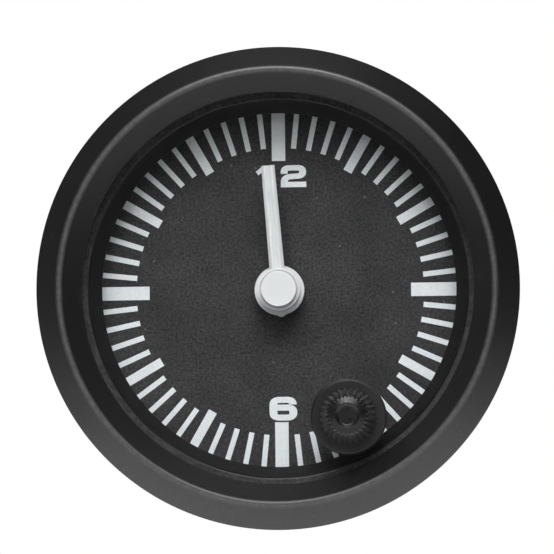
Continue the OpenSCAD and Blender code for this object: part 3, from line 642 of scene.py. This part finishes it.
def filleted(corners, steps):
    """Points of a closed section whose (radius, along, rounding) corners are turned into arcs."""
    points = []
    for i, (radius, along, rounding) in enumerate(corners):
        here = Vector((radius, along))
        before = (Vector(corners[i - 1][:2]) - here).normalized()
        after = (Vector(corners[(i + 1) % len(corners)][:2]) - here).normalized()
        half = before.angle(after) / 2
        middle = here + (before + after).normalized() * rounding / math.sin(half)
        start = here + before * rounding / math.tan(half) - middle
        end = here + after * rounding / math.tan(half) - middle
        turn = -start.angle_signed(end) if rounding else 0
        count = steps if rounding else 0
        points += [middle + Matrix.Rotation(turn * k / steps, 2) @ start for k in range(count + 1)]
    return points + points[:1]


ring_low, ring_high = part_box("dial_ring")
ring_front, ring_rear = ring_low.y, ring_high.y
flange_width, flange_thickness = 1.0 * mm, 0.4 * mm
ring_outer = ring_high.x - flange_width
edge_radius, edge_rounding, edge_width = ring_outer - 0.14 * mm, 0.36 * mm, 0.4 * mm
crop_radius, crop_rounding = ring_outer - 1.62 * mm, 0.06 * mm
foot_radius = ring_outer - 0.9 * mm
crop_front, crop_rear, foot_front = 2.2 * mm, 2.6 * mm, 3.32 * mm
arc_steps, round_steps = 6, 256
ring_body = turned("dial_ring_body", filleted([
    (ring_outer, ring_rear, 0),
    (ring_outer, ring_front + flange_thickness, 0),
    (ring_high.x, ring_front + flange_thickness, 0),
    (ring_high.x, ring_front, 0),
    (edge_radius, ring_front, edge_rounding),
    (crop_radius, ring_front + crop_front, crop_rounding),
    (crop_radius, ring_front + crop_rear, 0),
    (foot_radius, ring_front + foot_front, 0),
    (foot_radius, ring_rear, 0),
], arc_steps), round_steps)

# A soft band at a given distance from the clock's axis
band, band_in, band_out = new_effect("ring_band", {"Radius": 0.027, "Width": 0.001}, ["Band"])
band_place = band.nodes.new("ShaderNodeTexCoord")
band_flat = band.nodes.new("ShaderNodeVectorMath")
band_flat.operation = "MULTIPLY"
band_flat.inputs[1].default_value = (1, 0, 1)
band_radius = band.nodes.new("ShaderNodeVectorMath")
band_radius.operation = "LENGTH"
band_mask = band.nodes.new("ShaderNodeMapRange")
band_mask.interpolation_type = "SMOOTHSTEP"
band_mask.inputs["To Min"].default_value = 1.0
band_mask.inputs["To Max"].default_value = 0.0
band.links.new(band_place.outputs["Object"], band_flat.inputs[0])
band.links.new(band_flat.outputs["Vector"], band_radius.inputs[0])
band_off = calculate(band, "SUBTRACT", band_radius.outputs["Value"], band_in.outputs["Radius"])
band_near = calculate(band, "ABSOLUTE", band_off)
band_share = calculate(band, "DIVIDE", band_near, band_in.outputs["Width"])
band.links.new(band_share, band_mask.inputs["Value"])
band.links.new(band_mask.outputs["Result"], band_out.inputs["Band"])


def blend_roughness(tree, shader, mask, roughness):
    """Gives the surface under a mask a roughness of its own."""
    mix = tree.nodes.new("ShaderNodeMix")
    mix.inputs["B"].default_value = roughness
    tree.links.new(mask, mix.inputs["Factor"])
    tree.links.new(shader.inputs["Roughness"].links[0].from_socket, mix.inputs["A"])
    tree.links.new(mix.outputs["Result"], shader.inputs["Roughness"])


def blend_colour(tree, shader, mask, colour):
    """Gives the surface under a mask a colour of its own."""
    before = shader.inputs["Base Color"].links[0].from_socket
    tree.links.new(tint(tree, mask, before, colour), shader.inputs["Base Color"])


ring_finish = moulded_plastic(
    "ring_black", (0.0045, 0.0045, 0.005), (0.0075, 0.0075, 0.008),
    roughness=0.6, scale=3600.0, depth=0.006 * mm)
ring_tree = ring_finish.node_tree
ring_shader = ring_tree.nodes["Principled BSDF"]
ring_shader.inputs["Specular IOR Level"].default_value = 0.3
edge_band = use_effect(ring_tree, band, Radius=edge_radius, Width=edge_width)
edge_mask = spread(ring_tree, edge_band["Band"], low=0, high=1, start=0.2, end=0.5)
blend_roughness(ring_tree, ring_shader, edge_mask, roughness=0.3)
flange_band = use_effect(ring_tree, band, Radius=ring_outer + 0.35 * mm, Width=0.6 * mm)
flange_mask = spread(ring_tree, flange_band["Band"], low=0, high=1, start=0.3, end=0.4)
flange_skin = use_effect(ring_tree, grain, Scale=2600.0)
flange_grey = mottle(ring_tree, flange_skin["Grain"],
                     (0.010, 0.010, 0.010), (0.046, 0.046, 0.046), start=0.38, end=0.62)
blend_colour(ring_tree, ring_shader, flange_mask, flange_grey)
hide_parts("dial_ring")
settle(ring_body, "case", ring_finish)


# Hands and hub cap
# White acetal mouldings pressed on the hour wheel's pipe and the cannon pinion.
# Each blade has bevelled edges and a groove down its middle; the cap hides the arbor.
hand_white = moulded_plastic(
    "hand_white", (0.66, 0.68, 0.69), (0.75, 0.77, 0.77),
    roughness=0.38, scale=1500.0, depth=0.002 * mm, dust_size=0.0)
dress(hand_white, "minute_hand", "hour_hand", "hub_cap")


# Setting works
# The stem, its pinion and clip turn and slide together; a spring keeps them forward.
# A rubber ring in the bush keeps water out along the stem.
dress(screw_steel, "setting_stem", "stem_clip", "thrust_washer")
dress(wheel_brass, "setting_pinion")
seal_rubber = moulded_plastic(
    "seal_rubber", (0.03, 0.03, 0.03), (0.05, 0.05, 0.05),
    roughness=0.7, scale=5200.0, depth=0.012 * mm, dust_size=0.09)
dress(seal_rubber, "stem_seal", "lens_seal", "panel_gasket")


# Return spring
# A coil of spring steel wire round the stem, between the thrust washer and the front plate's cup.
# In the clock it shortens towards the cup when the knob is pushed in; here it is built at one
# length.
spring_low, spring_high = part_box("return_spring")
spring_seat = (spring_low + spring_high) / 2
spring_seat.y = spring_high.y
coil = copied("return_spring", "return_coil")
edit_all(coil)
bpy.ops.mesh.normals_make_consistent(inside=False)
bpy.ops.object.mode_set(mode="OBJECT")
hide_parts("return_spring")
spring_wire = worked_metal("spring_wire", (0.42, 0.42, 0.43), (0.58, 0.58, 0.6), roughness=0.25)
settle(coil, "case", spring_wire, smooth_angle=60)
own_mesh(coil)


# Lens and stem bush
# A flat disc of clear acrylic, with a flanged black bush through it for the setting stem.
# A thin nut behind the lens clamps the bush.
dress(clear_finish("lens_clear", roughness=0.012, refraction=1.49), "lens")
bush_black = moulded_plastic(
    "bush_black", (0.005, 0.005, 0.006), (0.025, 0.025, 0.026),
    roughness=0.36, scale=3000.0, depth=0.006 * mm, dust_size=0.07)
dress(bush_black, "stem_bush", "bush_nut")


# Setting knob
# A small tapered knob in glossy black plastic, pressed on the stem, with flutes for the fingers.
# Its face is slightly domed, with a flat-bottomed dimple; dust greys the flutes.
knob_low, knob_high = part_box("setting_knob")
knob_middle = (knob_low + knob_high) / 2
knob_base, knob_face = knob_high.y, knob_low.y
bore_radius, bore_depth = 1.22 * mm, 2.66 * mm
foot_inner, foot_outer, foot_edge = 3.5 * mm, 3.59 * mm, 0.1 * mm

# Each of these rows is a radius and a distance behind the face, in millimetres
knob_edge = [(2.74, 0.60), (2.72, 0.52), (2.66, 0.44), (2.57, 0.37)]
knob_dome = [(2.30, 0.27), (2.10, 0.20), (1.84, 0.115), (1.64, 0.05), (1.53, 0.01)]
knob_dimple = [
    (1.46, 0.015), (1.40, 0.06), (1.31, 0.165), (1.23, 0.225),
    (1.12, 0.252), (1.00, 0.258), (0, 0.26),
]
knob_outline = [
    (0, knob_base - bore_depth),
    (bore_radius, knob_base - bore_depth),
    (bore_radius, knob_base),
    (foot_inner, knob_base),
    (foot_outer, knob_base - foot_edge),
]
for radius, behind in knob_edge + knob_dome + knob_dimple:
    knob_outline.append((radius * mm, knob_face + behind * mm))
flute_count, flute_steps = 28, 10
knob_body = turned("knob_body", knob_outline, flute_count * flute_steps)

# Each flute is pressed in row by row, from its bottom to its edges
flute_shares = (0.080, 0.075, 0.061, 0.038, 0.012)
flute_inner = 2.45 * mm
only(knob_body)
for row, share in enumerate(flute_shares):
    for vert in knob_body.data.vertices:
        turn = math.atan2(vert.co.z, vert.co.x) / math.tau * flute_count * flute_steps
        along = round(turn) % flute_steps
        on_flank = math.hypot(vert.co.x, vert.co.z) > flute_inner
        vert.select = on_flank and min(along, flute_steps - along) == row
    for part in (*knob_body.data.edges, *knob_body.data.polygons):
        part.select = False
    bpy.ops.object.mode_set(mode="EDIT")
    bpy.ops.transform.resize(value=(1 - share, 1, 1 - share), center_override=(0, 0, 0))
    bpy.ops.object.mode_set(mode="OBJECT")
shift(knob_body, (knob_middle.x, 0, knob_middle.z))
knob_finish = moulded_plastic(
    "knob_black", (0.003, 0.003, 0.004), (0.005, 0.005, 0.006),
    roughness=0.3, scale=2400.0, depth=0.0005 * mm, dust_size=0.03)
knob_tree = knob_finish.node_tree
knob_shader = knob_tree.nodes["Principled BSDF"]
knob_place = knob_tree.nodes.new("ShaderNodeTexCoord")
knob_split = knob_tree.nodes.new("ShaderNodeSeparateXYZ")
knob_tree.links.new(knob_place.outputs["Object"], knob_split.inputs["Vector"])
flank_mask = spread(knob_tree, knob_split.outputs["Y"], low=0, high=1,
                    start=knob_face + 0.42 * mm, end=knob_face + 0.7 * mm)
flank_skin = use_effect(knob_tree, grain, Scale=3000.0)
flank_grey = mottle(knob_tree, flank_skin["Grain"], (0.014, 0.014, 0.015), (0.050, 0.050, 0.051))
blend_colour(knob_tree, knob_shader, flank_mask, flank_grey)
blend_roughness(knob_tree, knob_shader, flank_mask, roughness=0.5)
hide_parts("setting_knob")
settle(knob_body, "knob", knob_finish, smooth_angle=60)


# Bezel
# The trim ring, moulded in black plastic with a satin skin, pressed on the case's flange.
# Its crest is smoother and glossier than the slopes, with a lighter grey painted along it as a
# painted highlight.
bezel_low, bezel_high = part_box("bezel")
rim_radius, rim_front, rim_rounding = bezel_high.x, -1.2 * mm, 0.25 * mm
crest_radius, crest_front, crest_rounding = 27.1 * mm, bezel_low.y - 0.44 * mm, 0.7 * mm
opening_radius, opening_front, opening_rounding = 24.5 * mm, -2.1 * mm, 0.12 * mm
lip_radius, lip_rear = 24.9 * mm, -1.0 * mm
seat_radius, seat_rear = 28.7 * mm, -1.4 * mm
hollow_front, bezel_arc_steps = -2.6 * mm, 12

# The hollow behind the crest keeps the wall even; these are its inner and outer radius
hollow_mouth = 26.1 * mm, 28.2 * mm
hollow_floor = 26.4 * mm, 27.9 * mm
bezel_body = turned("bezel_body", filleted([
    (rim_radius, bezel_high.y, 0),
    (rim_radius, rim_front, rim_rounding),
    (crest_radius, crest_front, crest_rounding),
    (opening_radius, opening_front, opening_rounding),
    (opening_radius, lip_rear, 0),
    (lip_radius, lip_rear, 0),
    (lip_radius, seat_rear, 0),
    (hollow_mouth[0], seat_rear, 0),
    (hollow_floor[0], hollow_front, 0),
    (hollow_floor[1], hollow_front, 0),
    (hollow_mouth[1], seat_rear, 0),
    (seat_radius, seat_rear, 0),
    (seat_radius, bezel_high.y, 0),
], bezel_arc_steps), round_steps)
bezel_finish = moulded_plastic(
    "bezel_black", (0.0035, 0.0035, 0.004), (0.007, 0.007, 0.0075),
    roughness=0.46, scale=3400.0, depth=0.006 * mm)
bezel_tree = bezel_finish.node_tree
bezel_shader = bezel_tree.nodes["Principled BSDF"]
rubbed_roughness = 0.36
# Along the crest: a lighter grey painted as a painted highlight, plus a lower roughness and a coat
crest_gloss_and_painted_highlight = use_effect(bezel_tree, band, Radius=crest_radius, Width=0.58 * mm)
crest_skin = use_effect(bezel_tree, grain, Scale=1700.0)
crest_painted_highlight = mottle(bezel_tree, crest_skin["Grain"], (0.052, 0.052, 0.053), (0.096, 0.096, 0.097))
blend_colour(bezel_tree, bezel_shader, crest_gloss_and_painted_highlight["Band"], crest_painted_highlight)
blend_roughness(bezel_tree, bezel_shader, crest_gloss_and_painted_highlight["Band"], rubbed_roughness)
bezel_tree.links.new(crest_gloss_and_painted_highlight["Band"], bezel_shader.inputs["Coat Weight"])
bezel_shader.inputs["Coat Roughness"].default_value = rubbed_roughness
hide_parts("bezel")
settle(bezel_body, "case", bezel_finish)


# Studio
# A plain pale floor under the clock and a white background, with soft light from above in front.
# Weak light comes off the table and the ceiling; grey cards stand at the sides, and black ones
# above the clock and behind the camera.

def seen_directly(tree):
    """A mask of 1 for rays from the camera, a mirror or glass that have met no matt surface."""
    path = tree.nodes.new("ShaderNodeLightPath")
    shown = path.outputs["Is Camera Ray"]
    for ray in ("Is Glossy Ray", "Is Transmission Ray"):
        shown = calculate(tree, "MAXIMUM", shown, path.outputs[ray])
    straight = calculate(tree, "LESS_THAN", path.outputs["Diffuse Depth"], 0.5)
    return calculate(tree, "MULTIPLY", shown, straight)


floor_size, floor_level = 6, -75 * mm
floor = new_plane("floor", floor_size, (0, 0, floor_level))
floor_finish, floor_tree, floor_shader = new_finish("floor_pale", roughness=0.9)
floor_skin = use_effect(floor_tree, grain, Scale=60.0)
floor_colour = tint(floor_tree, floor_skin["Patch"], (0.80, 0.80, 0.80), (0.84, 0.84, 0.84))
floor_tree.links.new(floor_colour, floor_shader.inputs["Base Color"])
floor_glow = tint(floor_tree, seen_directly(floor_tree), (0, 0, 0), (0.4, 0.4, 0.4))
floor_tree.links.new(floor_glow, floor_shader.inputs["Emission Color"])
floor_shader.inputs["Emission Strength"].default_value = 1.0
floor.data.materials.append(floor_finish)

for card_name, card_grey, card_at, card_turn, card_size in (
    ("left_card", 0.4, (-0.3, 0.05, 0.2), (0, 90, 0), (0.55, 0.9)),
    ("right_card", 0.2, (0.3, 0.05, 0.2), (0, 90, 0), (0.55, 0.9)),
    ("top_card", 0.01, (0, 0.15, 0.5), (0, 0, 0), (0.6, 0.7)),
    ("camera_card", 0.01, (0, -0.75, 0.47), (90, 0, 0), (1.6, 1.1)),
):
    card = new_plane(card_name, 1, card_at, [math.radians(angle) for angle in card_turn])
    card.scale = (*card_size, 1)
    card.visible_camera = False
    card_finish, card_tree, card_shader = new_finish(card_name, roughness=0.9)
    card_skin = use_effect(card_tree, grain, Scale=60.0)
    card_colour = tint(card_tree, card_skin["Patch"], [0.9 * card_grey] * 3, [1.1 * card_grey] * 3)
    card_tree.links.new(card_colour, card_shader.inputs["Base Color"])
    card.data.materials.append(card_finish)

for lamp_name, lamp_at, lamp_aim, lamp_size, lamp_power in (
    ("top_lamp", (0, -0.54, 0.49), (0, 0, 0), (0.42, 0.28), 2.9),
    ("table_lamp", (0, 0.05, -0.0745), (0, 0.05, 0), (0.22, 0.18), 0.105),
    ("front_lamp", (0, -0.46, 0.12), (0, 0, 0), (0.35, 0.05), 0.14),
    ("ceiling_lamp", (0, 0.06, 0.4), (0, 0, 0), (0.3, 0.2), 0.13),
):
    bpy.ops.object.light_add(type="AREA", location=lamp_at)
    lamp = bpy.context.object
    lamp.name = lamp_name
    lamp.visible_camera = False
    lamp.data.shape = "RECTANGLE"
    lamp.data.size, lamp.data.size_y = lamp_size
    lamp.data.energy = lamp_power
    lamp_way = Vector(lamp_aim) - Vector(lamp_at)
    lamp.rotation_euler = lamp_way.to_track_quat("-Z", "Y").to_euler()

sky = bpy.data.worlds.new("white_background")
bpy.context.scene.world = sky
sky.use_nodes = True
sky_tree = sky.node_tree
seen = sky_tree.nodes["Background"]
fill = sky_tree.nodes.new("ShaderNodeBackground")
for background, strength in ((seen, 1.0), (fill, 0.25)):
    background.inputs["Color"].default_value = (1, 1, 1, 1)
    background.inputs["Strength"].default_value = strength
choose_sky = sky_tree.nodes.new("ShaderNodeMixShader")
sky_tree.links.new(seen_directly(sky_tree), choose_sky.inputs[0])
sky_tree.links.new(fill.outputs[0], choose_sky.inputs[1])
sky_tree.links.new(seen.outputs[0], choose_sky.inputs[2])
sky_tree.links.new(choose_sky.outputs[0], sky_tree.nodes["World Output"].inputs["Surface"])

camera_distance, camera_lens = 0.55, 285.9
camera_azimuth, camera_elevation = math.radians(2.4), math.radians(-3.63)
camera_aim, camera_roll = Vector((-0.11 * mm, 0, 1.4 * mm)), math.radians(-0.7)
camera_at = camera_distance * Vector((
    math.sin(camera_azimuth) * math.cos(camera_elevation),
    -math.cos(camera_azimuth) * math.cos(camera_elevation),
    math.sin(camera_elevation),
))
bpy.ops.object.camera_add(location=camera_at)
camera = bpy.context.object
camera.data.sensor_width = 36
camera.data.lens = camera_lens
camera.data.clip_start = 0.01
camera.rotation_euler = (camera_aim - camera_at).to_track_quat("-Z", "Y").to_euler()
camera.rotation_euler.rotate_axis("Z", camera_roll)
bpy.context.scene.camera = camera
bpy.context.scene.view_settings.view_transform = "Standard"
